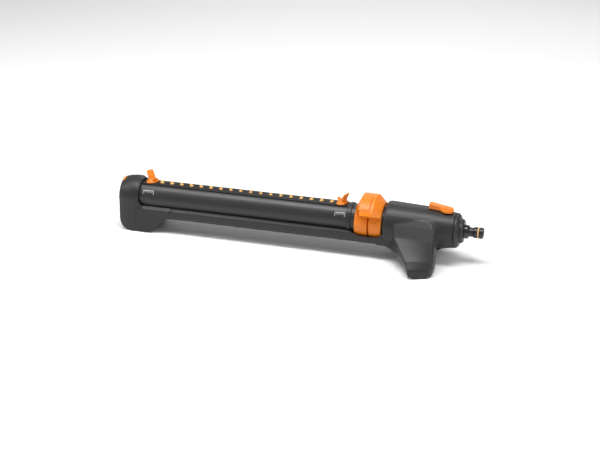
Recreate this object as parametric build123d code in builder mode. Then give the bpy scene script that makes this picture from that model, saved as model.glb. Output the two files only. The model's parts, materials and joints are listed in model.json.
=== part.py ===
from build123d import *
import os
from math import pi, sin, cos, tan, radians, degrees, sqrt, acos

os.makedirs("parts", exist_ok=True)

# Oscillating lawn sprinkler. Millimetres, +Z up, origin on the ground below
# the middle of the object. +X runs along the spray tube to the hose nipple,
# -Y is the front. The tube, rings, bushes and gears share one axis at AXIS_H.

# ---------------------------------------------------------------- dimensions
AXIS_H = 48.0              # height of the tube axis above the ground
TUBE_R = 22.25             # spray tube, outside
BORE_R = 20.25             # spray tube, inside
TUBE_X0, TUBE_X1 = -250.0, 133.0
LAND_TOP, LAND_LOW = 20.0, 17.5   # flat land under the nozzle strip, above the axis
STRIP_TOP = 22.5
STRIP_HALF = 9.0
STRIP_X0, STRIP_X1 = -246.5, 75.5
NOZZLE_X0, NOZZLE_PITCH, NOZZLES = -210.7, 15.4, 18
LEVER_XL, LEVER_XR = -226.1, 66.5     # pivots of the two width levers

TROUGH_R = 23.4            # channel the tube lies in
BEAM_HALF, BEAM_LOW = 28.0, 22.4

RING_X0, RING_X1, RING_X2 = 90.0, 109.7, 129.2
RING_R = 26.2
TAB_R = 39.6

HOUSE_X0, HOUSE_X1 = 133.5, 232.0
BULK_X0, BULK_X1 = 137.5, 146.0
TRIP_SET = 8.0             # reversing lever stands this far off centre
ROD_R = 25.0

GEAR_M = 0.5
GEAR_CD = 10.5
PINION_Z, WHEEL_Z = 12, 30

VALVE_TILT = 6.0
VALVE_X = 215.0

TUBE_AXIS = Axis((0, 0, AXIS_H), (1, 0, 0))
BACK_AXIS = Axis((0, 0, AXIS_H), (-1, 0, 0))


def station(x):
    """Cross-section plane at x: local x is world Y, local y is height above the axis."""
    return Plane(origin=(x, 0, AXIS_H), x_dir=(0, 1, 0), z_dir=(1, 0, 0))


def radial_plane(a):
    """Plane through the tube axis; a is 0 at the front, 90 at the top."""
    return Plane(
        origin=(0, 0, AXIS_H),
        x_dir=(1, 0, 0),
        z_dir=(0, -sin(radians(a)), -cos(radians(a))),
    )


def polar(r, a):
    """Local section coordinates of a point at radius r and angle a."""
    return (-r * cos(radians(a)), r * sin(radians(a)))


def gear_points(teeth, m, shift, phase, slack=0.05, steps=4):
    """Outline of an involute gear; one tooth is centred on phase degrees."""
    pressure = radians(20)
    rp = m * teeth / 2
    rb = rp * cos(pressure)
    ra = rp + m * (1 + shift) - 0.04
    rf = rp - m * (1.25 - shift)
    half = (pi / 2 + 2 * shift * tan(pressure)) / teeth - slack / (2 * rp)
    inv0 = tan(pressure) - pressure
    flank = []
    start = max(rb, rf)
    for i in range(steps + 1):
        r = start + (ra - start) * i / steps
        al = acos(min(1, rb / r))
        flank.append((r, half + inv0 - (tan(al) - al)))
    pts = []
    for k in range(teeth):
        mid = radians(phase) + 2 * pi * k / teeth
        if rf < rb - 1e-6:
            pts.append((rf, mid - flank[0][1]))
        pts += [(r, mid - t) for r, t in flank]
        pts += [(r, mid + t) for r, t in reversed(flank)]
        if rf < rb - 1e-6:
            pts.append((rf, mid + flank[0][1]))
    return [(r * cos(t), r * sin(t)) for r, t in pts]


def leg_section(points, side, inset=0.0):
    """One horizontal slice of a leg; side is -1 for the front leg, +1 for the rear one."""
    cx = sum(p[0] for p in points) / len(points)
    cy = sum(p[1] for p in points) / len(points)
    out = []
    for x, y in points:
        d = sqrt((x - cx) ** 2 + (y - cy) ** 2)
        k = max(0.2, 1 - inset * 1.35 / d)
        out.append((cx + (x - cx) * k, -side * (cy + (y - cy) * k)))
    return out


# Slices of the front leg, given for y < 0: outer left, outer right, chamfer
# corner, inner right, inner left.
LEG = {
    0.0: [(187.5, -76.2), (204.5, -68.5), (209, -61.5), (210.8, -48), (172.5, -53)],
    4.5: [(181, -78.2), (207.5, -68.5), (211.8, -61), (212.2, -45), (169, -50)],
    13.0: [(179.5, -78.0), (208.5, -66.5), (212.5, -60), (212.5, -40), (161, -42)],
    22.4: [(174.5, -69.5), (208, -60.5), (211.5, -54), (210.5, -26), (140, -26)],
    45.0: [(151.5, -42), (206.5, -43.5), (210, -38), (209.5, -16), (139, -14)],
    59.0: [(149, -30.5), (204.5, -31.5), (208.5, -27), (208, -8), (147, -8)],
    66.5: [(156, -24), (200, -24.5), (204, -20), (204, -8), (156, -8)],
}
# ================================================================ base frame
with BuildPart() as housing_core:
    # inside of the drive housing, from the bulkhead to the inlet mouth
    with BuildSketch(Plane.XZ):
        with BuildLine():
            Polyline(
                (BULK_X1, AXIS_H), (BULK_X1, AXIS_H + 28.8), (190, AXIS_H + 27.2),
                (226, AXIS_H + 23.0), (233, AXIS_H + 22.6), (233, AXIS_H), close=True,
            )
        make_face()
    revolve(axis=TUBE_AXIS)
    # ring web that carries the jet plate
    with BuildSketch(Plane.XZ):
        with BuildLine():
            Polyline(
                (196, AXIS_H + 21.6), (196, AXIS_H + 32), (200, AXIS_H + 32),
                (200, AXIS_H + 21.6), close=True,
            )
        make_face()
    revolve(axis=TUBE_AXIS, mode=Mode.SUBTRACT)

with BuildPart() as housing_outer:
    with BuildSketch(Plane.XZ):
        with BuildLine():
            Polyline(
                (HOUSE_X0, AXIS_H), (HOUSE_X0, AXIS_H + 30.9), (135.2, AXIS_H + 32.2),
                (140, AXIS_H + 32.1), (190, AXIS_H + 30.0), (222, AXIS_H + 26.5),
                (HOUSE_X1, AXIS_H + 25.2), (HOUSE_X1, AXIS_H), close=True,
            )
        make_face()
    revolve(axis=TUBE_AXIS)

leg_cavities = []
for side in (-1, 1):
    with BuildPart() as cavity:
        for z, pts in LEG.items():
            if z > 60:
                continue
            with BuildSketch(Plane.XY.offset(z if z else -1.0)):
                with BuildLine():
                    Polyline(*leg_section(pts, -side, 3.0), close=True)
                make_face()
        loft(ruled=True)
        add(housing_outer.part, mode=Mode.SUBTRACT)
        # keep a floor of material between the cavity and the beam
        with Locations((120, 0, 20)):
            Box(60, 70, 60, mode=Mode.SUBTRACT)
    biggest = cavity.part.solids().sort_by(SortBy.VOLUME)[-1]
    leg_cavities.append(biggest)

with BuildPart() as base_frame:
    add(housing_outer.part)
    # beam below the tube: sloping shoulders, narrower towards the housing
    with BuildSketch(Plane(origin=(-205, 0, 0), x_dir=(0, 1, 0), z_dir=(1, 0, 0))):
        with BuildLine():
            Polyline(
                (-BEAM_HALF, 27.4), (-BEAM_HALF, 37.0), (-21.5, 40.6), (21.5, 40.6),
                (BEAM_HALF, 37.0), (BEAM_HALF, 27.4), (23.0, BEAM_LOW), (-23.0, BEAM_LOW),
                close=True,
            )
        make_face()
    with BuildSketch(Plane(origin=(80, 0, 0), x_dir=(0, 1, 0), z_dir=(1, 0, 0))):
        with BuildLine():
            Polyline(
                (-BEAM_HALF, 27.4), (-BEAM_HALF, 38.6), (-23.5, 39.8), (23.5, 39.8),
                (BEAM_HALF, 38.6), (BEAM_HALF, 27.4), (23.0, BEAM_LOW), (-23.0, BEAM_LOW),
                close=True,
            )
        make_face()
    loft(ruled=True)
    with BuildSketch(Plane(origin=(80, 0, 0), x_dir=(0, 1, 0), z_dir=(1, 0, 0))):
        with BuildLine():
            Polyline(
                (-BEAM_HALF, 27.4), (-BEAM_HALF, 38.6), (-23.5, 39.8), (23.5, 39.8),
                (BEAM_HALF, 38.6), (BEAM_HALF, 27.4), (23.0, BEAM_LOW), (-23.0, BEAM_LOW),
                close=True,
            )
        make_face()
    extrude(amount=80)
    # raised shoulder that turns up into the housing
    with BuildSketch(Plane(origin=(122, 0, 0), x_dir=(0, 1, 0), z_dir=(1, 0, 0))):
        with BuildLine():
            Polyline(
                (-28.0, 27.4), (-28.0, 50), (-24.5, 50), (-24.5, 27.4), close=True,
            )
        make_face()
        mirror(about=Plane.YZ)
    extrude(amount=14)
    # belly below the rings, coaxial with the tube
    with BuildSketch(station(80)):
        Circle(25.6)
        with Locations((0, 16)):
            Rectangle(80, 62, mode=Mode.SUBTRACT)
    with BuildSketch(station(92)):
        Circle(29.3)
        with Locations((0, 16)):
            Rectangle(80, 62, mode=Mode.SUBTRACT)
    loft(ruled=True)
    with BuildSketch(station(92)):
        Circle(29.3)
        with Locations((0, 16)):
            Rectangle(80, 62, mode=Mode.SUBTRACT)
    extrude(amount=44)
    # the two legs
    for side in (-1, 1):
        for z, pts in LEG.items():
            with BuildSketch(Plane.XY.offset(z)):
                with BuildLine():
                    Polyline(*leg_section(pts, -side), close=True)
                make_face()
        loft(ruled=True)
    # curved webs from the beam and the housing down to the legs
    for y0, web in (
        (24.2, [(120, 26), (128, 22.6), (137, 22.2), (142, 19.9), (148, 16.7), (154, 12.2), (159, 7.0)]),
        (9.5, [(226, 25.4), (218, 23.4), (211, 20.6), (206, 16.6), (203, 11.0)]),
    ):
        for flip in (-1, 1):
            with BuildSketch(Plane.XZ.offset(y0 if flip < 0 else -y0 - 3.6)):
                with BuildLine():
                    Spline(*web)
                    Polyline(web[-1], (185, web[-1][1]), (185, 30), (web[0][0], 30), web[0])
                make_face()
            extrude(amount=3.6)
    # dip of the beam's rim below the adjusting rings
    with BuildSketch(Plane.XZ.offset(-40)):
        with BuildLine():
            Spline((74, 40.2), (84, 38.6), (91, 36.4), (99, 34.0), (112, 33.0), (122, 34.0), (128.5, 37.0), (131.8, 42.5), (133.0, 50.0))
            Polyline((133.0, 50.0), (133.0, 60), (74, 60), (74, 40.2))
        make_face()
    extrude(amount=80, mode=Mode.SUBTRACT)
    # channel for the tube and the rings
    with BuildSketch(station(-206)):
        Circle(TROUGH_R)
    extrude(amount=206 + 86, mode=Mode.SUBTRACT)
    with BuildSketch(Plane.XZ):
        with BuildLine():
            Polyline(
                (73.5, AXIS_H), (73.5, AXIS_H + 24.6), (87.5, AXIS_H + 24.6), (88.5, AXIS_H + 26.9),
                (133.4, AXIS_H + 26.9), (133.4, AXIS_H), close=True,
            )
        make_face()
    revolve(axis=TUBE_AXIS, mode=Mode.SUBTRACT)
    # mouth of the housing, bulkhead bore for the bush and the seal
    with BuildSketch(Plane.XZ):
        with BuildLine():
            Polyline(
                (133.3, AXIS_H), (133.3, AXIS_H + 29.3), (BULK_X0, AXIS_H + 29.3),
                (BULK_X0, AXIS_H + 21.0), (143, AXIS_H + 21.0), (143, AXIS_H + 23.0),
                (BULK_X1 + 0.5, AXIS_H + 23.0), (BULK_X1 + 0.5, AXIS_H), close=True,
            )
        make_face()
    revolve(axis=TUBE_AXIS, mode=Mode.SUBTRACT)
    add(housing_core.part, mode=Mode.SUBTRACT)
    # slot in the bulkhead and in the web for the push rod
    for x0, x1 in ((137, 146.5), (195.5, 200.5)):
        with BuildSketch(radial_plane(180 - 14)):
            with BuildLine():
                Polyline(
                    (x0, ROD_R - 1.5), (x1, ROD_R - 1.5), (x1, ROD_R + 1.5), (x0, ROD_R + 1.5),
                    close=True,
                )
            make_face()
        revolve(axis=BACK_AXIS, revolution_arc=28, mode=Mode.SUBTRACT)
    for piece in leg_cavities:
        add(piece, mode=Mode.SUBTRACT)
    # coring pockets below the beam, between outer skin and channel
    for side in (-1, 1):
        with Locations((-40, side * 20.9, 0)):
            with GridLocations(31, 1, 9, 1):
                Box(26, 3.4, 57, mode=Mode.SUBTRACT)
    # seat of the flow valve spindle, square to the housing's top line
    with BuildSketch(Plane(origin=(VALVE_X, 0, AXIS_H), x_dir=(cos(radians(VALVE_TILT)), 0, -sin(radians(VALVE_TILT))), z_dir=(sin(radians(VALVE_TILT)), 0, cos(radians(VALVE_TILT))))):
        Circle(4.05)
    extrude(amount=40, mode=Mode.SUBTRACT)
    # seam with the end post
    with BuildSketch(Plane.XZ.offset(-40)):
        with BuildLine():
            Polyline(
                (-230, 10), (-196.4, 22.3), (-194.0, 27.2), (-189.6, 33.2), (-189.1, 45), (-230, 45),
                close=True,
            )
        make_face()
    extrude(amount=80, mode=Mode.SUBTRACT)
    # tongues that slide into the end post
    with Locations((-203.5, -24.6, 30.0), (-203.5, 24.6, 30.0)):
        Box(30, 4.0, 5.0)
    with Locations((-215.8, -24.6, 30.0), (-215.8, 24.6, 30.0)):
        Cylinder(1.1, 12, mode=Mode.SUBTRACT)
base_frame.part.label = "base_frame"
export_step(base_frame.part, "parts/base_frame.step")

# ================================================================== end post
with BuildPart() as end_post:
    # upright: conical arch around the tube axis
    for x, r, w in (
        (-271.5, 25.0, 27.0), (-263.0, 27.8, 29.2), (-254.5, 28.9, 30.4), (-246.4, 28.9, 30.4),
        (-243.2, 27.4, 29.2), (-240.4, 26.0, 28.0),
    ):
        with BuildSketch(station(x)):
            with BuildLine():
                Polyline((-r, 0), (-w, -AXIS_H), (w, -AXIS_H), (r, 0))
                ThreePointArc((r, 0), (0, r), (-r, 0))
            make_face()
    loft(ruled=True)
    # foot and arm below the tube
    with BuildSketch(Plane(origin=(-252.2, 0, 0), x_dir=(0, 1, 0), z_dir=(1, 0, 0))):
        with BuildLine():
            Polyline(
                (-30.6, 0), (-BEAM_HALF, 27.4), (-BEAM_HALF, 36.6), (-21.0, 41.0), (21.0, 41.0),
                (BEAM_HALF, 36.6), (BEAM_HALF, 27.4), (30.6, 0), close=True,
            )
        make_face()
    extrude(amount=63.0)
    # inner corner between the arm's rim and the upright
    with BuildSketch(Plane.XZ.offset(-27.0)):
        with BuildLine():
            Line((-240.6, 36.0), (-227.0, 36.0))
            ThreePointArc((-227.0, 36.0), (-236.6, 40.6), (-240.4, 50.0))
            Polyline((-240.4, 50.0), (-240.6, 50.0), (-240.6, 36.0))
        make_face()
    extrude(amount=54.0)
    # side outline seen from the front
    with BuildSketch(Plane.XZ.offset(-40)):
        with BuildLine():
            Line((-271.5, 90), (-271.5, 17.5))
            RadiusArc((-271.5, 17.5), (-254.0, 0), -17.5)
            Line((-254.0, 0), (-230.4, 0))
            Spline((-230.4, 0), (-223.9, 1.1), (-217.3, 4.4), (-210.6, 10.9), (-203.8, 19.0), (-200.4, 21.6), (-196.6, 22.5))
            Polyline((-196.6, 22.5), (-194.2, 27.3), (-189.8, 33.3), (-189.3, 45), (-189.3, 90), (-271.5, 90))
        make_face()
    extrude(amount=80, mode=Mode.INTERSECT)
    # channel for the tube
    with BuildSketch(station(-252.2)):
        Circle(TROUGH_R)
    extrude(amount=70, mode=Mode.SUBTRACT)
    with BuildSketch(station(-252.2)):
        Circle(24.7)
    extrude(amount=12.6, mode=Mode.SUBTRACT)
    # bore for the left bush
    with BuildSketch(station(-263.0)):
        Circle(10.5)
    extrude(amount=11, mode=Mode.SUBTRACT)
    # hollow of the foot, open downwards
    with BuildSketch(Plane.XZ.offset(-26.5)):
        with BuildLine():
            Polyline(
                (-259, -1), (-261.5, 14), (-261.5, 20.5), (-212, 20.5), (-230, -1), close=True,
            )
        make_face()
    extrude(amount=53, mode=Mode.SUBTRACT)
    # pockets for the beam's tongues
    with Locations((-203.6, -24.6, 30.0), (-203.6, 24.6, 30.0)):
        Box(30.4, 4.2, 5.2, mode=Mode.SUBTRACT)
    with Locations((-215.8, -24.6, 26.0), (-215.8, 24.6, 26.0)):
        Cylinder(1.55, 16, mode=Mode.SUBTRACT)
    # notch for the cleaning tool's grip, and the hole for its needle
    with Locations((-269.8, 0, AXIS_H + 20.5)):
        Box(5.0, 19.4, 16.0, mode=Mode.SUBTRACT)
    with BuildSketch(station(-267.6)):
        with Locations((0, 17.0)):
            Circle(0.85)
    extrude(amount=12.1, mode=Mode.SUBTRACT)
end_post.part.label = "end_post"
export_step(end_post.part, "parts/end_post.step")

with BuildPart() as post_base_cover:
    with BuildSketch(Plane.XZ.offset(-26.2)):
        with BuildLine():
            Polyline((-258.9, 0), (-259.3, 2.6), (-227.5, 2.6), (-229.7, 0), close=True)
        make_face()
    extrude(amount=52.4)
    with BuildSketch(Plane.XY):
        with Locations((-244.5, 0)):
            with GridLocations(21, 36, 2, 2):
                Circle(1.7)
    extrude(amount=3, mode=Mode.SUBTRACT)
    with BuildSketch(Plane.XY):
        with Locations((-244.5, 0)):
            with GridLocations(21, 36, 2, 2):
                Circle(3.2)
    extrude(amount=1.2, mode=Mode.SUBTRACT)
post_base_cover.part.label = "post_base_cover"
export_step(post_base_cover.part, "parts/post_base_cover.step")

with BuildPart() as post_cover_bosses:
    # four screw pillars standing on the cover, up to the roof of the hollow
    with BuildSketch(Plane.XY.offset(2.6)):
        with Locations((-244.5, 0)):
            with GridLocations(21, 36, 2, 2):
                Circle(3.4)
                Circle(1.35, mode=Mode.SUBTRACT)
    extrude(amount=17.8)
post_cover_bosses.part.label = "post_cover_bosses"
export_step(post_cover_bosses.part, "parts/post_cover_bosses.step")

with BuildPart() as post_cover_screws:
    with BuildSketch(Plane.XY.offset(0.3)):
        with Locations((-244.5, 0)):
            with GridLocations(21, 36, 2, 2):
                Circle(2.9)
    extrude(amount=0.9)
    with BuildSketch(Plane.XY.offset(1.2)):
        with Locations((-244.5, 0)):
            with GridLocations(21, 36, 2, 2):
                Circle(1.3)
    extrude(amount=11)
    with BuildSketch(Plane.XY.offset(0.3)):
        with Locations((-244.5, 0)):
            with GridLocations(21, 36, 2, 2):
                Rectangle(3.6, 0.7)
                Rectangle(0.7, 3.6)
    extrude(amount=0.6, mode=Mode.SUBTRACT)
post_cover_screws.part.label = "post_cover_screws"
export_step(post_cover_screws.part, "parts/post_cover_screws.step")

with BuildPart() as tongue_screws:
    with BuildSketch(Plane.XY.offset(18.2)):
        with Locations((-215.8, -24.6), (-215.8, 24.6)):
            Circle(1.75)
    extrude(amount=2.2)
    with BuildSketch(Plane.XY.offset(20.4)):
        with Locations((-215.8, -24.6), (-215.8, 24.6)):
            Circle(1.05)
    extrude(amount=13)
    with BuildSketch(Plane.XY.offset(18.2)):
        with Locations((-215.8, -24.6), (-215.8, 24.6)):
            Rectangle(2.4, 0.5)
            Rectangle(0.5, 2.4)
    extrude(amount=0.8, mode=Mode.SUBTRACT)
tongue_screws.part.label = "tongue_screws"
export_step(tongue_screws.part, "parts/tongue_screws.step")

with BuildPart() as post_bush:
    with BuildSketch(station(-263.0)):
        Circle(10.48)
        Circle(8.04, mode=Mode.SUBTRACT)
    extrude(amount=10.6)
post_bush.part.label = "post_bush"
export_step(post_bush.part, "parts/post_bush.step")

# ------------------------------------------------------------ cleaning tool
with BuildPart() as cleaning_grip:
    # follows the outline of the post's shoulder
    for x, r in ((-271.4, 25.3), (-267.6, 26.8)):
        with BuildSketch(station(x)):
            with BuildLine():
                Line((-9.5, 13.3), (9.5, 13.3))
                Line((9.5, 13.3), (9.5, sqrt(r * r - 9.5 * 9.5)))
                ThreePointArc((9.5, sqrt(r * r - 9.5 * 9.5)), (0, r), (-9.5, sqrt(r * r - 9.5 * 9.5)))
                Line((-9.5, sqrt(r * r - 9.5 * 9.5)), (-9.5, 13.3))
            make_face()
    loft(ruled=True)
    fillet(cleaning_grip.edges().group_by(Axis.Z)[-1], 0.6)
cleaning_grip.part.label = "cleaning_grip"
export_step(cleaning_grip.part, "parts/cleaning_grip.step")

with BuildPart() as cleaning_needle:
    with BuildSketch(station(-267.6)):
        with Locations((0, 17.0)):
            Circle(0.8)
    extrude(amount=11.6)
    chamfer(cleaning_needle.edges().group_by(Axis.X)[-1], 0.4)
cleaning_needle.part.label = "cleaning_needle"
export_step(cleaning_needle.part, "parts/cleaning_needle.step")

# =============================================================== tube group
with BuildPart() as spray_tube:
    with BuildSketch(station(TUBE_X0)):
        Circle(TUBE_R)
    extrude(amount=TUBE_X1 - TUBE_X0)
    chamfer(spray_tube.edges().group_by(Axis.X)[0], 0.6)
    with BuildSketch(station(TUBE_X0)):
        Circle(BORE_R)
        with Locations((0, LAND_LOW + 10)):
            Rectangle(60, 20, mode=Mode.SUBTRACT)
    extrude(amount=TUBE_X1 - TUBE_X0, mode=Mode.SUBTRACT)
    with BuildSketch(station(STRIP_X0 - 0.1)):
        with Locations((0, LAND_TOP + 10)):
            Rectangle(60, 20)
    extrude(amount=STRIP_X1 - STRIP_X0 + 0.2, mode=Mode.SUBTRACT)
    with BuildSketch(Plane.XY.offset(AXIS_H + 16)):
        with Locations(*[(NOZZLE_X0 + NOZZLE_PITCH * i, 0) for i in range(NOZZLES)]):
            Circle(1.2)
        with Locations((LEVER_XL, 0), (LEVER_XR, 0)):
            Circle(2.55)
    extrude(amount=6, mode=Mode.SUBTRACT)
spray_tube.part.label = "spray_tube"
export_step(spray_tube.part, "parts/spray_tube.step")

with BuildPart() as nozzle_strip:
    with BuildSketch(station(STRIP_X0)):
        with BuildLine():
            Polyline(
                (-STRIP_HALF, LAND_TOP), (-STRIP_HALF, STRIP_TOP - 0.7), (-STRIP_HALF + 0.7, STRIP_TOP),
                (STRIP_HALF - 0.7, STRIP_TOP), (STRIP_HALF, STRIP_TOP - 0.7), (STRIP_HALF, LAND_TOP),
                close=True,
            )
        make_face()
    extrude(amount=STRIP_X1 - STRIP_X0)
    with BuildSketch(Plane.XY.offset(AXIS_H + 19)):
        with Locations(*[(NOZZLE_X0 + NOZZLE_PITCH * i, 0) for i in range(NOZZLES)]):
            Circle(2.2)
        with Locations((LEVER_XL, 0), (LEVER_XR, 0)):
            Circle(2.55)
    extrude(amount=6, mode=Mode.SUBTRACT)
nozzle_strip.part.label = "nozzle_strip"
export_step(nozzle_strip.part, "parts/nozzle_strip.step")

with BuildPart() as nozzles:
    for i in range(NOZZLES):
        x = NOZZLE_X0 + NOZZLE_PITCH * i
        lean = (i - (NOZZLES - 1) / 2) / ((NOZZLES - 1) / 2)
        foot = 2.6 + 0.7 * abs(lean)
        with BuildSketch(Plane.XY.offset(AXIS_H + LAND_TOP)):
            with Locations((x, 0)):
                Circle(2.15)
        extrude(amount=STRIP_TOP - LAND_TOP)
        with BuildSketch(Plane.XY.offset(AXIS_H + STRIP_TOP)):
            with Locations((x, 0)):
                Circle(foot)
        with BuildSketch(Plane.XY.offset(AXIS_H + STRIP_TOP + 3.6)):
            with Locations((x + 1.3 * lean, 0)):
                Circle(0.95)
        loft(ruled=True)
        with BuildSketch(Plane.XY.offset(AXIS_H + LAND_TOP - 0.1)):
            with Locations((x, 0)):
                Circle(0.55)
        with BuildSketch(Plane.XY.offset(AXIS_H + STRIP_TOP + 3.7)):
            with Locations((x + 1.3 * lean, 0)):
                Circle(0.4)
        loft(ruled=True, mode=Mode.SUBTRACT)
nozzles.part.label = "nozzles"
export_step(nozzles.part, "parts/nozzles.step")

with BuildPart() as tube_clamp_ring:
    with BuildSketch(Plane.XZ):
        with BuildLine():
            Polyline(
                (77.7, AXIS_H + 22.27), (77.7, AXIS_H + 23.6), (78.4, AXIS_H + 24.1),
                (83.2, AXIS_H + 24.1), (84.0, AXIS_H + 23.3), (84.0, AXIS_H + 22.27), close=True,
            )
        make_face()
    revolve(axis=TUBE_AXIS)
tube_clamp_ring.part.label = "tube_clamp_ring"
export_step(tube_clamp_ring.part, "parts/tube_clamp_ring.step")

with BuildPart() as tube_end_cap:
    with BuildSketch(station(-260.5)):
        Circle(8.0)
    extrude(amount=9.5)
    with BuildSketch(station(-251.2)):
        Circle(22.2)
    extrude(amount=1.2)
    with BuildSketch(station(-250.0)):
        Circle(BORE_R - 0.05)
        with Locations((0, LAND_LOW + 10 - 0.05)):
            Rectangle(60, 20, mode=Mode.SUBTRACT)
        Circle(16, mode=Mode.SUBTRACT)
    extrude(amount=12)
    chamfer(tube_end_cap.edges().group_by(Axis.X)[0], 0.6)
tube_end_cap.part.label = "tube_end_cap"
export_step(tube_end_cap.part, "parts/tube_end_cap.step")

with BuildPart() as drive_coupling:
    # plug inside the tube, flange, journal and spider
    with BuildSketch(station(119.0)):
        Circle(BORE_R - 0.05)
        with Locations((0, LAND_LOW + 10 - 0.05)):
            Rectangle(60, 20, mode=Mode.SUBTRACT)
    extrude(amount=14.0)
    with BuildSketch(station(133.0)):
        Circle(21.6)
    extrude(amount=1.2)
    with BuildSketch(station(134.2)):
        Circle(19.0)
    extrude(amount=15.6)
    with BuildSketch(station(118.9)):
        Circle(16.4)
    extrude(amount=31, mode=Mode.SUBTRACT)
    with BuildSketch(station(142.0)):
        Circle(5.6)
        with PolarLocations(0, 3):
            with Locations((10.8, 0)):
                Rectangle(11.6, 2.4)
        RegularPolygon(3.05, 6, major_radius=False, mode=Mode.SUBTRACT)
    extrude(amount=6.5)
drive_coupling.part.label = "drive_coupling"
export_step(drive_coupling.part, "parts/drive_coupling.step")

# ------------------------------------------------------------- width levers
for name, x, s in (("left", LEVER_XL, -1), ("right", LEVER_XR, 1)):
    # s is the side the paddle leans to
    turn = radians(36 if s < 0 else 22)
    base = Plane(origin=(x, 0, AXIS_H + STRIP_TOP + 0.25), x_dir=(cos(turn), -sin(turn), 0), z_dir=(0, 0, 1))
    with BuildPart() as width_lever:
        # flared skirt
        with BuildSketch(base):
            Ellipse(7.4, 10.6)
        with BuildSketch(base.offset(1.2)):
            Ellipse(7.0, 10.2)
        with BuildSketch(base.offset(5.0)):
            with Locations((s * 0.6, 0)):
                Ellipse(4.4, 6.0)
        loft(ruled=True)
        # paddle, leaning outwards
        with BuildSketch(base.offset(2.6)):
            with Locations((s * 1.0, 0)):
                SlotOverall(11.6, 7.0, rotation=90)
        with BuildSketch(base.offset(8.0)):
            with Locations((s * 3.4, 0)):
                SlotOverall(11.6, 5.4, rotation=90)
        with BuildSketch(base.offset(14.8)):
            with Locations((s * 7.6, 0)):
                SlotOverall(11.2, 3.8, rotation=90)
        with BuildSketch(base.offset(16.0)):
            with Locations((s * 8.3, 0)):
                SlotOverall(9.8, 2.4, rotation=90)
        loft(ruled=True)
        # small thumb horn on the inner side
        with BuildSketch(base.offset(2.4)):
            with Locations((-s * 3.4, 0)):
                SlotOverall(8.0, 3.6, rotation=90)
        with BuildSketch(base.offset(7.0)):
            with Locations((-s * 7.0, 0)):
                SlotOverall(6.0, 2.0, rotation=90)
        loft(ruled=True)
        # stem through strip and tube wall, with a groove for its seal
        with BuildSketch(base.offset(0.5)):
            Circle(2.5)
        extrude(amount=-1.7)
        with BuildSketch(base.offset(-1.2)):
            Circle(1.45)
        extrude(amount=-1.4)
        with BuildSketch(base.offset(-2.6)):
            Circle(2.5)
        extrude(amount=-2.7)
        with BuildSketch(base.offset(-5.3)):
            Circle(1.6)
            with Locations((0, 1.9)):
                Rectangle(4, 1.0, mode=Mode.SUBTRACT)
        extrude(amount=-2.9)
    width_lever.part.label = "width_lever_" + name
    export_step(width_lever.part, "parts/width_lever_" + name + ".step")

    with BuildPart() as lever_seal:
        with BuildSketch(Plane.XZ):
            with Locations((x + 1.98, AXIS_H + STRIP_TOP + 0.25 - 1.9)):
                Circle(0.52)
        revolve(axis=Axis((x, 0, 0), (0, 0, 1)))
    lever_seal.part.label = "lever_seal_" + name
    export_step(lever_seal.part, "parts/lever_seal_" + name + ".step")

    with BuildPart() as lever_pinion:
        with BuildSketch(Plane(origin=(x, 0, AXIS_H + 14.6), x_dir=(1, 0, 0), z_dir=(0, 0, 1))):
            with BuildLine():
                Polyline(*gear_points(10, 0.7, 0.4, 90, slack=0.1), close=True)
            make_face()
            Circle(1.62, mode=Mode.SUBTRACT)
        extrude(amount=2.7)
    lever_pinion.part.label = "lever_pinion_" + name
    export_step(lever_pinion.part, "parts/lever_pinion_" + name + ".step")

    with BuildPart() as shutter:
        # plate with one slot per end nozzle, and a rack beside the pinion
        inner = -s                       # direction from the pivot to the nozzles
        first = x + inner * NOZZLE_PITCH
        z0 = AXIS_H + 14.9
        with BuildSketch(Plane.XY.offset(z0)):
            with Locations((x + inner * 32.5, 0)):
                Rectangle(47.0, 8.4)
            with Locations((x + inner * 21.5, 6.6)):
                Rectangle(58.0, 3.4)
            with Locations((x + inner * 32.5, 4.6)):
                Rectangle(47.0, 1.8)
        extrude(amount=2.3)
        with BuildSketch(Plane.XY.offset(z0)):
            for k in range(3):
                slot = 0.6 * k
                with Locations((first + inner * (NOZZLE_PITCH * k + slot / 2), 0)):
                    SlotOverall(2.7 + slot, 2.7) if slot else Circle(1.35)
        extrude(amount=2.3, mode=Mode.SUBTRACT)
        # rack teeth, pitch line 3.78 mm behind the pinion's centre
        pitch = 0.7 * pi
        line_y = 3.5 + 0.4 * 0.7
        with BuildSketch(Plane.XY.offset(z0)):
            for k in range(-3, 6):
                cx = x + inner * (k + 0.5) * pitch
                wt, wb = pitch / 4 - 0.06, pitch / 4 - 0.06
                t20 = tan(radians(20))
                with BuildLine():
                    Polyline(
                        (cx - wb - 0.95 * t20, line_y + 1.3), (cx - wt + 0.62 * t20, line_y - 0.62),
                        (cx + wt - 0.62 * t20, line_y - 0.62), (cx + wb + 0.95 * t20, line_y + 1.3),
                        close=True,
                    )
                make_face()
        extrude(amount=2.3)
    shutter.part.label = "shutter_" + name
    export_step(shutter.part, "parts/shutter_" + name + ".step")

# ------------------------------------------------------------ adjusting rings
def tab_section(x0, x1, low):
    """Trapezoid of the thumb tabs in a radial plane, cut to x0..x1."""
    left, right = RING_X0 + 0.6, RING_X2
    def top(x):
        if x < 97.5:
            return 26.2 + (x - left) / (97.5 - left) * (TAB_R - 26.2)
        if x > 118.0:
            return TAB_R - (x - 118.0) / (right - 118.0) * (TAB_R - 28.6)
        return TAB_R
    xs = [x0] + [x for x in (97.5, 118.0) if x0 < x < x1] + [x1]
    return [(x0, low)] + [(x, max(low + 0.3, top(x))) for x in xs] + [(x1, low)]


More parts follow.
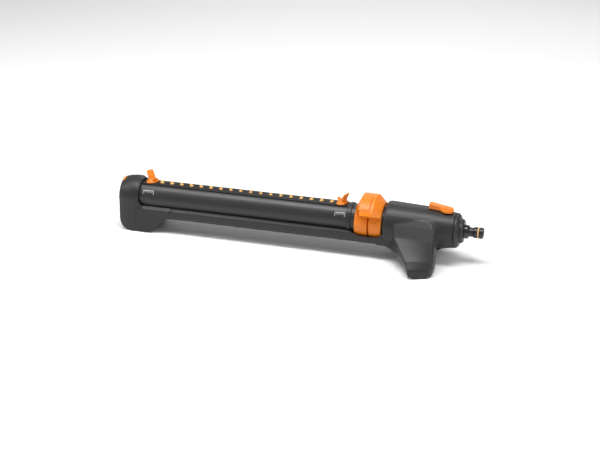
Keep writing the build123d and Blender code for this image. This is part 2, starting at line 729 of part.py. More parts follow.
with BuildPart() as range_ring_left:
    with BuildSketch(Plane.XZ):
        with BuildLine():
            Polyline(
                (RING_X0, AXIS_H + 22.33), (RING_X0, AXIS_H + 25.4), (RING_X0 + 0.8, AXIS_H + RING_R),
                (RING_X1 - 1.7, AXIS_H + RING_R), (RING_X1 - 0.9, AXIS_H + 24.8),
                (RING_X1 - 0.8, AXIS_H + 23.3), (RING_X1 - 0.2, AXIS_H + 23.3),
                (RING_X1 - 0.2, AXIS_H + 22.33), close=True,
            )
        make_face()
    revolve(axis=TUBE_AXIS)
    with BuildSketch(radial_plane(42.6)):
        with BuildLine():
            Polyline(*tab_section(RING_X0 + 0.6, RING_X1 - 0.2, 25.0), close=True)
        make_face()
    revolve(axis=BACK_AXIS, revolution_arc=106.4)
    with BuildSketch(radial_plane(42.6)):
        with BuildLine():
            Polyline(*tab_section(RING_X1 - 0.5, 112.7, RING_R + 0.25), close=True)
        make_face()
    revolve(axis=BACK_AXIS, revolution_arc=106.4)
    with BuildSketch(radial_plane(82.4)):
        with BuildLine():
            Polyline(*tab_section(112.2, RING_X2, RING_R + 0.25), close=True)
        make_face()
    revolve(axis=BACK_AXIS, revolution_arc=66.6)
    # lug that trips the reversing lever
    with BuildSketch(radial_plane(121)):
        with BuildLine():
            Polyline((128.8, 26.5), (129.4, 26.5), (129.4, 24.4), (131.0, 24.4), (131.0, 29.0), (128.8, 29.0), close=True)
        make_face()
    revolve(axis=BACK_AXIS, revolution_arc=6)
range_ring_left.part.label = "range_ring_left"
export_step(range_ring_left.part, "parts/range_ring_left.step")

with BuildPart() as range_ring_right:
    with BuildSketch(Plane.XZ):
        with BuildLine():
            Polyline(
                (RING_X1 + 0.2, AXIS_H + 22.33), (RING_X1 + 0.2, AXIS_H + 23.3),
                (RING_X1 + 0.8, AXIS_H + 23.3), (RING_X1 + 0.9, AXIS_H + 24.8),
                (RING_X1 + 1.7, AXIS_H + RING_R), (RING_X2 - 0.8, AXIS_H + RING_R),
                (RING_X2, AXIS_H + 25.4), (RING_X2, AXIS_H + 22.33), close=True,
            )
        make_face()
    revolve(axis=TUBE_AXIS)
    with BuildSketch(radial_plane(31.0)):
        with BuildLine():
            Polyline(*tab_section(113.1, RING_X2, 25.0), close=True)
        make_face()
    revolve(axis=BACK_AXIS, revolution_arc=51.0)
    with BuildSketch(radial_plane(31.0)):
        with BuildLine():
            Polyline(*tab_section(RING_X1 + 0.2, 113.6, 25.0), close=True)
        make_face()
    revolve(axis=BACK_AXIS, revolution_arc=11.0)
    with BuildSketch(radial_plane(31.0)):
        with BuildLine():
            Polyline(*tab_section(99.0, RING_X1 + 0.5, RING_R + 0.25), close=True)
        make_face()
    revolve(axis=BACK_AXIS, revolution_arc=11.0)
    with BuildSketch(radial_plane(233)):
        with BuildLine():
            Polyline((128.8, 24.2), (131.0, 24.2), (131.0, 26.0), (128.8, 26.0), close=True)
        make_face()
    revolve(axis=BACK_AXIS, revolution_arc=6)
range_ring_right.part.label = "range_ring_right"
export_step(range_ring_right.part, "parts/range_ring_right.step")

# ======================================================== bearings and seals
with BuildPart() as drive_bush:
    with BuildSketch(station(BULK_X0)):
        Circle(20.98)
        Circle(19.05, mode=Mode.SUBTRACT)
    extrude(amount=5.4)
drive_bush.part.label = "drive_bush"
export_step(drive_bush.part, "parts/drive_bush.step")

with BuildPart() as tube_lip_seal:
    with BuildSketch(Plane.XZ):
        with BuildLine():
            Polyline(
                (143.1, AXIS_H + 22.95), (145.9, AXIS_H + 22.95), (145.9, AXIS_H + 21.6),
                (144.6, AXIS_H + 21.2), (145.9, AXIS_H + 19.6), (145.5, AXIS_H + 19.05),
                (143.8, AXIS_H + 19.4), (143.1, AXIS_H + 20.4), close=True,
            )
        make_face()
    revolve(axis=TUBE_AXIS)
tube_lip_seal.part.label = "tube_lip_seal"
export_step(tube_lip_seal.part, "parts/tube_lip_seal.step")

# ================================================================== gearbox
LAY = (0, -GEAR_CD)
with BuildPart() as gearbox_cover:
    with BuildSketch(station(152.0)):
        Circle(21.0)
        Circle(4.04, mode=Mode.SUBTRACT)
        with Locations(LAY):
            Circle(1.0, mode=Mode.SUBTRACT)
        with PolarLocations(18.6, 3, start_angle=90):
            Circle(1.0, mode=Mode.SUBTRACT)
    extrude(amount=2.5)
gearbox_cover.part.label = "gearbox_cover"
export_step(gearbox_cover.part, "parts/gearbox_cover.step")

with BuildPart() as gearbox_case:
    with BuildSketch(station(154.5)):
        Circle(21.0)
        Circle(19.2, mode=Mode.SUBTRACT)
        with PolarLocations(18.6, 3, start_angle=90):
            Circle(2.0)
            Circle(0.8, mode=Mode.SUBTRACT)
    extrude(amount=27.0)
    with BuildSketch(station(181.5)):
        Circle(21.0)
        Circle(3.94, mode=Mode.SUBTRACT)
    extrude(amount=2.5)
    # three fins that centre the cartridge, and a collar that meets the web ring
    with BuildSketch(station(156.0)):
        with PolarLocations(0, 3, start_angle=90):
            with Locations((23.2, 0)):
                Rectangle(5.2, 2.4)
    extrude(amount=26.0)
    with BuildSketch(station(184.0)):
        Circle(21.0)
        Circle(19.0, mode=Mode.SUBTRACT)
        with PolarLocations(0, 6):
            with Locations((20, 0)):
                Rectangle(8, 8.0, mode=Mode.SUBTRACT)
    extrude(amount=12.4)
    with BuildSketch(station(181.4)):
        with Locations(LAY):
            Circle(1.0)
    extrude(amount=1.6, mode=Mode.SUBTRACT)
gearbox_case.part.label = "gearbox_case"
export_step(gearbox_case.part, "parts/gearbox_case.step")

with BuildPart() as gearbox_screws:
    with BuildSketch(station(150.6)):
        with PolarLocations(18.6, 3, start_angle=90):
            Circle(1.7)
    extrude(amount=1.4)
    with BuildSketch(station(152.0)):
        with PolarLocations(18.6, 3, start_angle=90):
            Circle(0.78)
    extrude(amount=9)
    with BuildSketch(station(150.6)):
        with PolarLocations(18.6, 3, start_angle=90):
            Rectangle(2.2, 0.5)
            Rectangle(0.5, 2.2)
    extrude(amount=0.7, mode=Mode.SUBTRACT)
gearbox_screws.part.label = "gearbox_screws"
export_step(gearbox_screws.part, "parts/gearbox_screws.step")

with BuildPart() as main_shaft:
    with BuildSketch(station(158.5)):
        Circle(1.0)
    extrude(amount=40.5)
    chamfer(main_shaft.edges(), 0.15)
main_shaft.part.label = "main_shaft"
export_step(main_shaft.part, "parts/main_shaft.step")

with BuildPart() as lay_shaft:
    with BuildSketch(station(152.2)):
        with Locations(LAY):
            Circle(0.99)
    extrude(amount=30.6)
lay_shaft.part.label = "lay_shaft"
export_step(lay_shaft.part, "parts/lay_shaft.step")

with BuildPart() as turbine_wheel:
    with BuildSketch(station(175.5)):
        with BuildLine():
            Polyline(*gear_points(PINION_Z, GEAR_M, 0.3, -90), close=True)
        make_face()
    extrude(amount=5.2)
    with BuildSketch(station(180.7)):
        Circle(3.9)
    extrude(amount=5.3)
    with BuildSketch(station(186.0)):
        Circle(17.0)
    extrude(amount=1.4)
    with BuildSketch(station(187.4)):
        Circle(5.0)
    extrude(amount=7.6)
    with BuildSketch(station(187.4)):
        with PolarLocations(0, 12):
            with Locations((10.7, 1.6)):
                Rectangle(12.4, 1.1, rotation=14)
    extrude(amount=6.6)
    with BuildSketch(station(175.4)):
        Circle(1.04)
    extrude(amount=20, mode=Mode.SUBTRACT)
turbine_wheel.part.label = "turbine_wheel"
export_step(turbine_wheel.part, "parts/turbine_wheel.step")

# compound gears, from the turbine towards the tube: wheel span, pinion span
TRAIN = (
    ("compound_gear_1", True, 176.0, 180.0, 170.2),
    ("compound_gear_2", False, 170.7, 174.7, 164.9),
    ("compound_gear_3", True, 165.4, 169.4, 159.4),
)
for name, on_lay, g0, g1, p0 in TRAIN:
    phase_wheel, phase_pinion = (96, 90) if on_lay else (-84, -90)
    cx, cy = LAY if on_lay else (0, 0)
    with BuildPart() as compound_gear:
        with BuildSketch(Plane(origin=(g0, cx, AXIS_H + cy), x_dir=(0, 1, 0), z_dir=(1, 0, 0))):
            with BuildLine():
                Polyline(*gear_points(WHEEL_Z, GEAR_M, -0.3, phase_wheel), close=True)
            make_face()
            Circle(1.04, mode=Mode.SUBTRACT)
        extrude(amount=g1 - g0)
        with BuildSketch(Plane(origin=(p0, cx, AXIS_H + cy), x_dir=(0, 1, 0), z_dir=(1, 0, 0))):
            with BuildLine():
                Polyline(*gear_points(PINION_Z, GEAR_M, 0.3, phase_pinion), close=True)
            make_face()
            Circle(1.04, mode=Mode.SUBTRACT)
        extrude(amount=g0 - p0)
    compound_gear.part.label = name
    export_step(compound_gear.part, "parts/" + name + ".step")

with BuildPart() as output_gear:
    with BuildSketch(station(160.0)):
        with BuildLine():
            Polyline(*gear_points(WHEEL_Z, GEAR_M, -0.3, -84), close=True)
        make_face()
    extrude(amount=4.0)
    with BuildSketch(station(154.7)):
        Circle(6.0)
    extrude(amount=5.3)
    with BuildSketch(station(148.6)):
        Circle(4.0)
    extrude(amount=6.1)
    with BuildSketch(station(142.4)):
        RegularPolygon(3.0, 6, major_radius=False)
    extrude(amount=6.2)
    with BuildSketch(station(158.0)):
        Circle(1.04)
    extrude(amount=6.1, mode=Mode.SUBTRACT)
output_gear.part.label = "output_gear"
export_step(output_gear.part, "parts/output_gear.step")

# ============================================== jets and reversing mechanism
with BuildPart() as jet_plate:
    with BuildSketch(station(196.6)):
        Circle(21.5)
        Circle(1.0, mode=Mode.SUBTRACT)
        with PolarLocations(12.5, 6, start_angle=TRIP_SET - 8):
            Circle(1.9, mode=Mode.SUBTRACT)
    extrude(amount=3.0)
jet_plate.part.label = "jet_plate"
export_step(jet_plate.part, "parts/jet_plate.step")

with BuildPart() as reversing_plate:
    with BuildSketch(station(200.3)):
        Circle(20.8)
        Circle(2.2, mode=Mode.SUBTRACT)
        with PolarLocations(12.5, 6, start_angle=0):
            Circle(2.4, mode=Mode.SUBTRACT)
        with Locations(Location((0, 0, 0), (0, 0, -TRIP_SET))):
            with Locations((22.2, 0)):
                Rectangle(5.6, 4.0)
    extrude(amount=2.2)
reversing_plate.part.label = "reversing_plate"
export_step(reversing_plate.part, "parts/reversing_plate.step")

with BuildPart() as reversing_pivot:
    with BuildSketch(station(199.6)):
        Circle(2.16)
    extrude(amount=5.4)
    with BuildSketch(station(202.9)):
        Circle(4.0)
    extrude(amount=2.1)
reversing_pivot.part.label = "reversing_pivot"
export_step(reversing_pivot.part, "parts/reversing_pivot.step")

with BuildPart() as trip_rod:
    with BuildSketch(station(133.6)):
        with Locations(polar(ROD_R, 180 + TRIP_SET)):
            Circle(1.0)
    extrude(amount=66.7)
trip_rod.part.label = "trip_rod"
export_step(trip_rod.part, "parts/trip_rod.step")

with BuildPart() as trip_yoke:
    with BuildSketch(Plane.XZ):
        with BuildLine():
            Polyline(
                (131.2, AXIS_H + 22.6), (131.2, AXIS_H + 24.0), (132.9, AXIS_H + 24.0),
                (132.9, AXIS_H + 22.6), close=True,
            )
        make_face()
    revolve(axis=TUBE_AXIS)
    # finger pushed by the lugs of the rings, and the eye of the rod
    with BuildSketch(station(131.2)):
        with Locations(Location((0, 0, 0), (0, 0, -TRIP_SET))):
            with Locations((24.8, 0)):
                Rectangle(3.6, 3.0)
    extrude(amount=2.4)
trip_yoke.part.label = "trip_yoke"
export_step(trip_yoke.part, "parts/trip_yoke.step")

with BuildPart() as trip_spring:
    # bow spring in the mouth of the housing
    with BuildSketch(radial_plane(200)):
        with Locations((135.6, 27.4)):
            Circle(0.45)
    revolve(axis=BACK_AXIS, revolution_arc=60)
trip_spring.part.label = "trip_spring"
export_step(trip_spring.part, "parts/trip_spring.step")

# ================================================================ flow valve
VX, VZ = sin(radians(VALVE_TILT)), cos(radians(VALVE_TILT))
VALVE = Plane(origin=(VALVE_X, 0, AXIS_H), x_dir=(VZ, 0, -VX), z_dir=(VX, 0, VZ))
with BuildPart() as valve_body:
    with BuildSketch(station(205.2)):
        Circle(19.6)
    extrude(amount=17.6)
    with BuildSketch(station(205.0)):
        Circle(5.0)
    extrude(amount=18, mode=Mode.SUBTRACT)
    with BuildSketch(VALVE.offset(-12.0)):
        Circle(5.6)
    extrude(amount=34, mode=Mode.SUBTRACT)
    # distribution chamber in front of the reversing plate
    with BuildSketch(station(205.0)):
        Circle(15.0)
    extrude(amount=2.4, mode=Mode.SUBTRACT)
valve_body.part.label = "valve_body"
export_step(valve_body.part, "parts/valve_body.step")

with BuildPart() as valve_plug:
    with BuildSketch(VALVE.offset(-11.9)):
        Circle(5.56)
    extrude(amount=26.0)
    with BuildSketch(VALVE.offset(14.1)):
        Circle(4.0)
    extrude(amount=13.9)
    with BuildSketch(Plane(origin=(VALVE_X, 0, AXIS_H), x_dir=(0, 1, 0), z_dir=(VZ, 0, -VX))):
        Circle(4.2)
    extrude(amount=10, both=True, mode=Mode.SUBTRACT)
    # groove for the spindle seal, and a square head for the lever
    with BuildSketch(VALVE.offset(24.4)):
        Circle(4.1)
        Circle(3.0, mode=Mode.SUBTRACT)
    extrude(amount=1.6, mode=Mode.SUBTRACT)
    with BuildSketch(VALVE.offset(28.0)):
        Rectangle(4.6, 4.6)
    extrude(amount=3.0)
    with BuildSketch(VALVE.offset(24.5)):
        Circle(1.2)
    extrude(amount=9, mode=Mode.SUBTRACT)
valve_plug.part.label = "valve_plug"
export_step(valve_plug.part, "parts/valve_plug.step")

with BuildPart() as spindle_seal:
    with BuildSketch(VALVE.offset(24.5)):
        Circle(3.99)
        Circle(3.02, mode=Mode.SUBTRACT)
    extrude(amount=1.4)
spindle_seal.part.label = "spindle_seal"
export_step(spindle_seal.part, "parts/spindle_seal.step")

with BuildPart() as lever_bar:
    # handle bar towards the rings, in a plane where local y is the valve axis
    with BuildSketch(Plane(origin=(VALVE_X, 0, AXIS_H), x_dir=(VZ, 0, -VX), z_dir=(0, -1, 0))):
        with BuildLine():
            Polyline(
                (-25.5, 28.2), (-25.5, 34.8), (-24.7, 35.6), (6.0, 33.4), (8.2, 32.4), (9.5, 30.6),
                (9.5, 28.2), close=True,
            )
        make_face()
    extrude(amount=6.0, both=True)
    with BuildSketch(VALVE.offset(27.0)):
        with Locations((-8.0, 0)):
            RectangleRounded(35.0, 10.4, 2.6)
    extrude(amount=12.0, mode=Mode.INTERSECT)

with BuildPart() as flow_lever:
    # round boss above the spindle
    with BuildSketch(VALVE.offset(28.2)):
        Circle(10.0)
    extrude(amount=3.2)
    add(lever_bar.part)
    # square socket below, screw seat above
    with BuildSketch(VALVE.offset(28.0)):
        Rectangle(4.7, 4.7)
    extrude(amount=3.1, mode=Mode.SUBTRACT)
    with BuildSketch(VALVE.offset(32.4)):
        Circle(2.7)
    extrude(amount=4, mode=Mode.SUBTRACT)
    with BuildSketch(VALVE.offset(28.0)):
        Circle(1.35)
    extrude(amount=10, mode=Mode.SUBTRACT)
flow_lever.part.label = "flow_lever"
export_step(flow_lever.part, "parts/flow_lever.step")

with BuildPart() as lever_screw:
    with BuildSketch(VALVE.offset(32.4)):
        Circle(2.4)
    extrude(amount=1.3)
    with BuildSketch(VALVE.offset(25.0)):
        Circle(1.15)
    extrude(amount=7.4)
    with BuildSketch(VALVE.offset(33.0)):
        Rectangle(3.2, 0.6)
        Rectangle(0.6, 3.2)
    extrude(amount=1.0, mode=Mode.SUBTRACT)
lever_screw.part.label = "lever_screw"
export_step(lever_screw.part, "parts/lever_screw.step")

# ==================================================================== inlet
with BuildPart() as inlet_collar:
    with BuildSketch(Plane.XZ):
        with BuildLine():
            Polyline(
                (223.4, AXIS_H + 12.0), (223.4, AXIS_H + 22.3), (227.6, AXIS_H + 22.3),
                (227.6, AXIS_H + 21.2), (229.4, AXIS_H + 21.2), (229.4, AXIS_H + 22.3),
                (232.1, AXIS_H + 22.3), (232.1, AXIS_H + 25.2), (234.9, AXIS_H + 24.9),
                (238.4, AXIS_H + 21.6), (238.4, AXIS_H + 17.6), (241.6, AXIS_H + 17.4),
                (244.2, AXIS_H + 15.2), (244.2, AXIS_H + 8.1), (236.0, AXIS_H + 8.1),
                (236.0, AXIS_H + 12.0), close=True,
            )
        make_face()
    revolve(axis=TUBE_AXIS)
inlet_collar.part.label = "inlet_collar"
export_step(inlet_collar.part, "parts/inlet_collar.step")

with BuildPart() as collar_seal:
    with BuildSketch(Plane.XZ):
        with Locations((228.5, AXIS_H + 21.86)):
            Circle(0.62)
    revolve(axis=TUBE_AXIS)
collar_seal.part.label = "collar_seal"
export_step(collar_seal.part, "parts/collar_seal.step")

with BuildPart() as hose_nipple:
    with BuildSketch(Plane.XZ):
        with BuildLine():
            Polyline(
                (232.6, AXIS_H + 5.2), (232.6, AXIS_H + 11.6), (235.8, AXIS_H + 11.6),
                (235.8, AXIS_H + 8.0), (244.4, AXIS_H + 8.0), (244.4, AXIS_H + 9.9),
                (249.8, AXIS_H + 9.9), (252.2, AXIS_H + 6.7), (257.0, AXIS_H + 6.7),
                (258.4, AXIS_H + 8.0), (263.0, AXIS_H + 8.0), (263.0, AXIS_H + 6.2),
                (265.8, AXIS_H + 6.2), (265.8, AXIS_H + 8.0), (270.6, AXIS_H + 8.0),
                (271.5, AXIS_H + 7.2), (271.5, AXIS_H + 5.2), close=True,
            )
        make_face()
    revolve(axis=TUBE_AXIS)
hose_nipple.part.label = "hose_nipple"
export_step(hose_nipple.part, "parts/hose_nipple.step")

with BuildPart() as nipple_o_ring:
    with BuildSketch(Plane.XZ):
        with Locations((264.4, AXIS_H + 7.2)):
            Circle(0.98)
    revolve(axis=TUBE_AXIS)
nipple_o_ring.part.label = "nipple_o_ring"
export_step(nipple_o_ring.part, "parts/nipple_o_ring.step")

with BuildPart() as inlet_filter:
    with BuildSketch(Plane.XZ):
        with BuildLine():
            Polyline(
                (231.4, AXIS_H + 5.0), (231.4, AXIS_H + 7.6), (232.5, AXIS_H + 7.6),
                (232.5, AXIS_H + 5.0), (250.0, AXIS_H + 3.0), (251.0, AXIS_H), (250.0, AXIS_H),
                (249.2, AXIS_H + 2.2), (232.4, AXIS_H + 4.2), close=True,
            )
        make_face()
    revolve(axis=TUBE_AXIS)
    with Locations((240.5, 0, AXIS_H)):
        with PolarLocations(0, 1):
            Box(12, 1.1, 20, mode=Mode.SUBTRACT)
            Box(12, 20, 1.1, mode=Mode.SUBTRACT)
inlet_filter.part.label = "inlet_filter"
export_step(inlet_filter.part, "parts/inlet_filter.step")

# ============================================================== foot covers
for name, side in (("front", -1), ("rear", 1)):
    with BuildPart() as foot_cover:
        for z in (0.0, 2.4):
            with BuildSketch(Plane.XY.offset(z)):
                with BuildLine():
                    Polyline(*leg_section(LEG[0.0], -side, 3.5), close=True)
                make_face()
        loft(ruled=True)
    foot_cover.part.label = "foot_cover_" + name
    export_step(foot_cover.part, "parts/foot_cover_" + name + ".step")
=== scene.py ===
"""Looks for the oscillating sprinkler: procedural plastics on the fixed frame, a pale studio and the camera."""

import json
from math import cos, radians, sin

import bpy
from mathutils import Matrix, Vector


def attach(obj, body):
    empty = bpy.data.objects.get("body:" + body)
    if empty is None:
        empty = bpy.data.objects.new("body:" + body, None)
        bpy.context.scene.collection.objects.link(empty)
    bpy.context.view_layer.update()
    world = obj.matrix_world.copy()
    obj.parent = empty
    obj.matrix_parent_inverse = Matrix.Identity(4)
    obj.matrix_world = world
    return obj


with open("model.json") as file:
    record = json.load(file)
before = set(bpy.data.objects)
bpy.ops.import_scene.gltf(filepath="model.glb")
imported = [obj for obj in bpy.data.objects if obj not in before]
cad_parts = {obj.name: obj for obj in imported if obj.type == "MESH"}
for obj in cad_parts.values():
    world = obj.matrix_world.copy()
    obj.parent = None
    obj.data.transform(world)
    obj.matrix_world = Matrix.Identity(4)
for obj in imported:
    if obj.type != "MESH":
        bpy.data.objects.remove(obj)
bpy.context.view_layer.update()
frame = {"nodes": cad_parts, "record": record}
nodes = frame["nodes"]
scene = bpy.context.scene
scene.view_settings.view_transform = "Standard"
H = 0.048                     # height of the tube axis
MM = 0.001


# ------------------------------------------------------------------ materials
def plastic(name, color, rough, grain=1400.0, bump=0.12, blotch=0.08, wear=0.30, wear_to=None, spec=0.5, coat=0.0, sheen=0.0, metal=0.0, streak=False, radius=0.0007, top_tint=0.0):
    """A moulded plastic, rubber or metal: fine grain bump, uneven gloss, paler rubbed edges and, on upward-facing
    faces, a patchy paler grey tint.
    """
    m = bpy.data.materials.new(name)
    m.use_nodes = True
    t = m.node_tree
    t.nodes.clear()
    n = t.nodes.new
    link = t.links.new
    out = n("ShaderNodeOutputMaterial")
    bsdf = n("ShaderNodeBsdfPrincipled")
    link(bsdf.outputs["BSDF"], out.inputs["Surface"])
    bsdf.inputs["Specular IOR Level"].default_value = spec
    bsdf.inputs["Metallic"].default_value = metal
    bsdf.inputs["Coat Weight"].default_value = coat
    bsdf.inputs["Coat Roughness"].default_value = 0.25
    bsdf.inputs["Sheen Weight"].default_value = sheen
    bsdf.inputs["Sheen Roughness"].default_value = 0.5
    coord = n("ShaderNodeTexCoord")
    # broad unevenness
    big = n("ShaderNodeTexNoise")
    big.inputs["Scale"].default_value = 38.0
    big.inputs["Detail"].default_value = 6.0
    big.inputs["Roughness"].default_value = 0.6
    link(coord.outputs["Object"], big.inputs["Vector"])
    mid = n("ShaderNodeTexNoise")
    mid.inputs["Scale"].default_value = 330.0
    mid.inputs["Detail"].default_value = 4.0
    link(coord.outputs["Object"], mid.inputs["Vector"])
    fine = n("ShaderNodeTexNoise")
    fine.inputs["Scale"].default_value = grain
    fine.inputs["Detail"].default_value = 2.0
    if streak:
        stretch = n("ShaderNodeMapping")
        stretch.inputs["Scale"].default_value = (0.03, 1.0, 1.0)
        link(coord.outputs["Object"], stretch.inputs["Vector"])
        link(stretch.outputs["Vector"], fine.inputs["Vector"])
    else:
        link(coord.outputs["Object"], fine.inputs["Vector"])
    # gloss
    gloss = n("ShaderNodeMapRange")
    gloss.inputs["From Min"].default_value = 0.3
    gloss.inputs["From Max"].default_value = 0.7
    gloss.inputs["To Min"].default_value = rough - 0.06
    gloss.inputs["To Max"].default_value = min(1.0, rough + 0.07)
    both = n("ShaderNodeMath")
    both.operation = "MULTIPLY_ADD"
    both.inputs[1].default_value = 0.55
    link(mid.outputs["Fac"], both.inputs[0])
    half = n("ShaderNodeMath")
    half.operation = "MULTIPLY"
    half.inputs[1].default_value = 0.45
    link(big.outputs["Fac"], half.inputs[0])
    link(half.outputs[0], both.inputs[2])
    link(both.outputs[0], gloss.inputs["Value"])
    # colour
    shade = n("ShaderNodeMapRange")
    shade.inputs["From Min"].default_value = 0.3
    shade.inputs["From Max"].default_value = 0.7
    shade.inputs["To Min"].default_value = 1.0 - blotch
    shade.inputs["To Max"].default_value = 1.0 + blotch
    link(both.outputs[0], shade.inputs["Value"])
    tint = n("ShaderNodeVectorMath")
    tint.operation = "SCALE"
    tint.inputs[0].default_value = color[:3]
    link(shade.outputs["Result"], tint.inputs["Scale"])
    # rubbed edges: where the rounded normal leaves the surface normal
    geo = n("ShaderNodeNewGeometry")
    bev = n("ShaderNodeBevel")
    bev.samples = 4
    bev.inputs["Radius"].default_value = radius
    dot = n("ShaderNodeVectorMath")
    dot.operation = "DOT_PRODUCT"
    link(bev.outputs["Normal"], dot.inputs[0])
    link(geo.outputs["Normal"], dot.inputs[1])
    edge = n("ShaderNodeMapRange")
    edge.inputs["From Min"].default_value = 0.985
    edge.inputs["From Max"].default_value = 0.90
    edge.inputs["To Min"].default_value = 0.0
    edge.inputs["To Max"].default_value = wear
    link(dot.outputs["Value"], edge.inputs["Value"])
    torn = n("ShaderNodeMapRange")
    torn.inputs["From Min"].default_value = 0.38
    torn.inputs["From Max"].default_value = 0.62
    torn.inputs["To Min"].default_value = 0.25
    torn.inputs["To Max"].default_value = 1.0
    link(mid.outputs["Fac"], torn.inputs["Value"])
    amount = n("ShaderNodeMath")
    amount.operation = "MULTIPLY"
    link(edge.outputs["Result"], amount.inputs[0])
    link(torn.outputs["Result"], amount.inputs[1])
    mix = n("ShaderNodeMix")
    mix.data_type = "RGBA"
    link(amount.outputs[0], mix.inputs["Factor"])
    link(tint.outputs["Vector"], mix.inputs[6])
    worn = wear_to or tuple(min(1.0, c * 1.7 + 0.02) for c in color[:3])
    mix.inputs[7].default_value = (*worn, 1.0)
    last = mix.outputs[2]
    if top_tint:
        # upward-facing faces are mixed in patches towards a paler grey, lighter the more they face up
        up = n("ShaderNodeSeparateXYZ")
        link(geo.outputs["Normal"], up.inputs[0])
        top = n("ShaderNodeMapRange")
        top.inputs["From Min"].default_value = 0.55
        top.inputs["From Max"].default_value = 1.0
        top.inputs["To Max"].default_value = top_tint
        link(up.outputs["Z"], top.inputs["Value"])
        lay = n("ShaderNodeMath")
        lay.operation = "MULTIPLY"
        link(top.outputs["Result"], lay.inputs[0])
        link(big.outputs["Fac"], lay.inputs[1])
        top_tinted = n("ShaderNodeMix")
        top_tinted.data_type = "RGBA"
        link(lay.outputs[0], top_tinted.inputs["Factor"])
        link(last, top_tinted.inputs[6])
        top_tinted.inputs[7].default_value = (0.30, 0.29, 0.28, 1.0)
        last = top_tinted.outputs[2]
    link(last, bsdf.inputs["Base Color"])
    # worn edges are smoother
    polish = n("ShaderNodeMath")
    polish.operation = "MULTIPLY_ADD"
    polish.inputs[1].default_value = -0.25
    link(amount.outputs[0], polish.inputs[0])
    link(gloss.outputs["Result"], polish.inputs[2])
    link(polish.outputs[0], bsdf.inputs["Roughness"])
    # grain
    b = n("ShaderNodeBump")
    b.inputs["Strength"].default_value = bump
    b.inputs["Distance"].default_value = 0.00025
    link(fine.outputs["Fac"], b.inputs["Height"])
    b2 = n("ShaderNodeBump")
    b2.inputs["Strength"].default_value = bump * 0.5
    b2.inputs["Distance"].default_value = 0.0004
    link(mid.outputs["Fac"], b2.inputs["Height"])
    link(b.outputs["Normal"], b2.inputs["Normal"])
    link(b2.outputs["Normal"], bsdf.inputs["Normal"])
    return m


MATS = {
    "frame_plastic": plastic("frame_plastic", (0.020, 0.0201, 0.0208), 0.41, bump=0.16, wear=0.30, wear_to=(0.085, 0.085, 0.088), spec=0.36, top_tint=0.04),
    "tube_plastic": plastic("tube_plastic", (0.022, 0.0222, 0.0232), 0.37, bump=0.07, wear=0.3, wear_to=(0.08, 0.08, 0.083), spec=0.45, streak=True, top_tint=0.04),
    "inner_plastic": plastic("inner_plastic", (0.016, 0.016, 0.017), 0.5, spec=0.35),
    "orange_plastic": plastic("orange_plastic", (0.74, 0.190, 0.006), 0.38, bump=0.07, blotch=0.04, wear=0.35, wear_to=(0.92, 0.42, 0.09), spec=0.4),
    "strip_plastic": plastic("strip_plastic", (0.011, 0.0105, 0.0105), 0.5, bump=0.08, wear=0.25, wear_to=(0.05, 0.05, 0.05), spec=0.3),
    "nozzle_rubber": plastic("nozzle_rubber", (0.78, 0.44, 0.13), 0.5, bump=0.06, blotch=0.06, wear=0.3, wear_to=(0.92, 0.72, 0.44), radius=0.0004),
    "seal_rubber": plastic("seal_rubber", (0.02, 0.02, 0.02), 0.6),
    "o_ring_rubber": plastic("o_ring_rubber", (0.72, 0.42, 0.20), 0.42, bump=0.05, radius=0.0003),
    "nipple_plastic": plastic("nipple_plastic", (0.014, 0.0125, 0.012), 0.24, bump=0.05, wear=0.35, wear_to=(0.10, 0.07, 0.05)),
    "filter_plastic": plastic("filter_plastic", (0.72, 0.73, 0.71), 0.5),
    "bearing_plastic": plastic("bearing_plastic", (0.82, 0.81, 0.77), 0.4),
    "gear_plastic": plastic("gear_plastic", (0.78, 0.76, 0.70), 0.45),
    "steel": plastic("steel", (0.58, 0.58, 0.59), 0.32, metal=1.0, wear=0.3, wear_to=(0.8, 0.8, 0.8)),
}
finish_of = {s["node"]: s["material_slot"] for s in frame["record"]["subparts"]}

# ------------------------------------------------- soft moulded edges on the frame
# voxel size in mm and number of smoothing passes for the pieces that show
SOFT = {
    "base_frame": (0.9, 7), "end_post": (0.75, 7), "inlet_collar": (0.42, 3), "hose_nipple": (0.36, 2),
    "range_ring_left": (0.45, 4), "range_ring_right": (0.45, 4), "width_lever_left": (0.26, 4),
    "width_lever_right": (0.26, 4), "flow_lever": (0.32, 4), "tube_clamp_ring": (0.4, 2),
    "nozzle_strip": (0.34, 1), "nozzles": (0.24, 1), "cleaning_grip": (0.22, 3), "lever_screw": (0.12, 1),
    "foot_cover_front": (0.6, 2), "foot_cover_rear": (0.6, 2), "post_base_cover": (0.5, 2),
}
for name, o in nodes.items():
    o.data.materials.clear()
    o.data.materials.append(MATS[finish_of[name]])
    for p in o.data.polygons:
        p.material_index = 0
    if name in SOFT:
        size, passes = SOFT[name]
        weld = o.modifiers.new("weld", "WELD")
        weld.merge_threshold = 0.000002
        r = o.modifiers.new("remesh", "REMESH")
        r.mode = "VOXEL"
        r.voxel_size = size * MM
        r.use_smooth_shade = True
        s = o.modifiers.new("soft", "SMOOTH")
        s.factor = 0.5
        s.iterations = passes


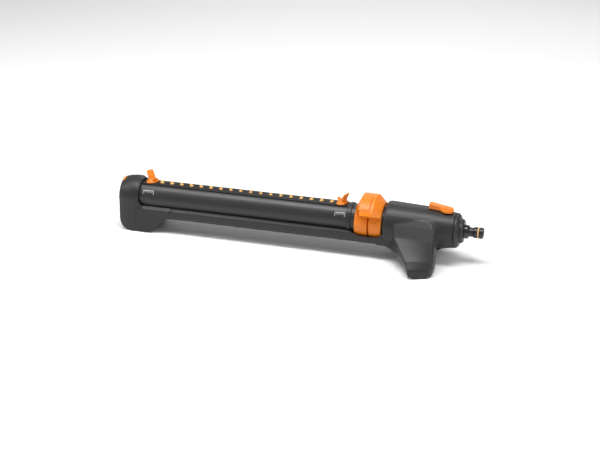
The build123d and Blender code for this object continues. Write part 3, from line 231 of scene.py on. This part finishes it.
# ------------------------------------------------------------- printed marks
def ribbon(pieces, r0=22.20, r1=22.36):
    """Thin printed bars on the tube. Each is (x0, x1, a0, a1) in mm and degrees, a being 0 at the front and 90 on top."""
    verts, faces = [], []
    for x0, x1, a0, a1 in pieces:
        steps = max(2, int(abs(a1 - a0) / 2) + 1)
        start = len(verts)
        for i in range(steps + 1):
            a = radians(a0 + (a1 - a0) * i / steps)
            for x, r in ((x0, r0), (x0, r1), (x1, r1), (x1, r0)):
                verts.append((x * MM, -r * cos(a) * MM, H + r * sin(a) * MM))
        for i in range(steps):
            k = start + 4 * i
            for j in range(4):
                faces.append((k + j, k + (j + 1) % 4, k + 4 + (j + 1) % 4, k + 4 + j))
        faces.append((start + 3, start + 2, start + 1, start))
        k = start + 4 * steps
        faces.append((k, k + 1, k + 2, k + 3))
    me = bpy.data.meshes.new("width_marks")
    me.from_pydata(verts, [], faces)
    me.validate()
    me.update()
    return bpy.data.objects.new("width_marks", me)


bars = []
for x0, x1, side in ((-235.0, -218.0, -1), (60.0, 75.0, 1)):
    bars.append((x0, x1, 39.6, 41.8))
    step = (x1 - x0) / 6
    for i in range(7):
        # a scale of short ticks, longest at its two ends
        x = x0 + 0.4 + (x1 - x0 - 0.8) * i / 6
        bars.append((x - 0.35, x + 0.35, 26.0 if i in (0, 6) else 33.0 - 1.0 * (i % 2), 38.2))
marks = ribbon(bars)
marks.data.materials.append(plastic("mark_paint", (0.50, 0.50, 0.49), 0.5, bump=0.05, wear=0.2, radius=0.0002))
scene.collection.objects.link(marks)
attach(marks, "tube")

# ------------------------------------------------------------------- studio
floor_mesh = bpy.data.meshes.new("studio_floor")
S = 9.0
floor_mesh.from_pydata([(-S, -S, 0), (S, -S, 0), (S, S, 0), (-S, S, 0)], [], [(0, 1, 2, 3)])
floor = bpy.data.objects.new("studio_floor", floor_mesh)
scene.collection.objects.link(floor)
floor.location.z = -0.0002
fm = bpy.data.materials.new("studio_floor")
fm.use_nodes = True
fb = fm.node_tree.nodes["Principled BSDF"]
fb.inputs["Base Color"].default_value = (0.90, 0.90, 0.90, 1)
fb.inputs["Roughness"].default_value = 0.85
fb.inputs["Specular IOR Level"].default_value = 0.2
fn = fm.node_tree.nodes.new("ShaderNodeTexNoise")
fn.inputs["Scale"].default_value = 220.0
fbp = fm.node_tree.nodes.new("ShaderNodeBump")
fbp.inputs["Strength"].default_value = 0.04
fbp.inputs["Distance"].default_value = 0.0003
fm.node_tree.links.new(fn.outputs["Fac"], fbp.inputs["Height"])
fm.node_tree.links.new(fbp.outputs["Normal"], fb.inputs["Normal"])
floor_mesh.materials.append(fm)

world = bpy.data.worlds.new("studio")
scene.world = world
world.use_nodes = True
world.node_tree.nodes["Background"].inputs["Color"].default_value = (1.0, 1.0, 1.0, 1)
world.node_tree.nodes["Background"].inputs["Strength"].default_value = 0.30


def softbox(name, at, to, w, h, power, tone=(1.0, 1.0, 1.0)):
    lamp = bpy.data.lights.new(name, "AREA")
    lamp.shape = "RECTANGLE"
    lamp.size, lamp.size_y = w, h
    lamp.energy = power
    lamp.color = tone
    o = bpy.data.objects.new(name, lamp)
    o.location = at
    o.rotation_mode = "QUATERNION"
    o.rotation_quaternion = (Vector(to) - Vector(at)).to_track_quat("-Z", "Y")
    scene.collection.objects.link(o)
    return o


softbox("key", (0.0, -0.30, 1.7), (0, 0, 0), 1.9, 0.50, 36)
softbox("back_fill", (0.2, 1.6, 1.1), (0, 0, 0.05), 1.8, 0.9, 7)
softbox("left_fill", (-1.5, -0.55, 1.15), (-0.2, 0, 0.04), 0.5, 0.7, 9)
softbox("right_fill", (1.5, -0.35, 0.75), (0.2, 0, 0.03), 0.35, 0.6, 5)

# ------------------------------------------------------------------- camera
AZ, EL, DIST = radians(16.5), radians(23.5), 1.9
back = Vector((sin(AZ) * cos(EL), -cos(AZ) * cos(EL), sin(EL)))
cam_data = bpy.data.cameras.new("camera")
cam_data.sensor_width = 36.0
cam_data.lens = 78.0
cam_data.dof.use_dof = False
cam_data.clip_start, cam_data.clip_end = 0.05, 50
cam = bpy.data.objects.new("camera", cam_data)
scene.collection.objects.link(cam)
cam.rotation_mode = "QUATERNION"
cam.location = Vector((0.003, 0.0, 0.02793)) + DIST * back
cam.rotation_quaternion = (-back).to_track_quat("-Z", "Y")
scene.camera = cam
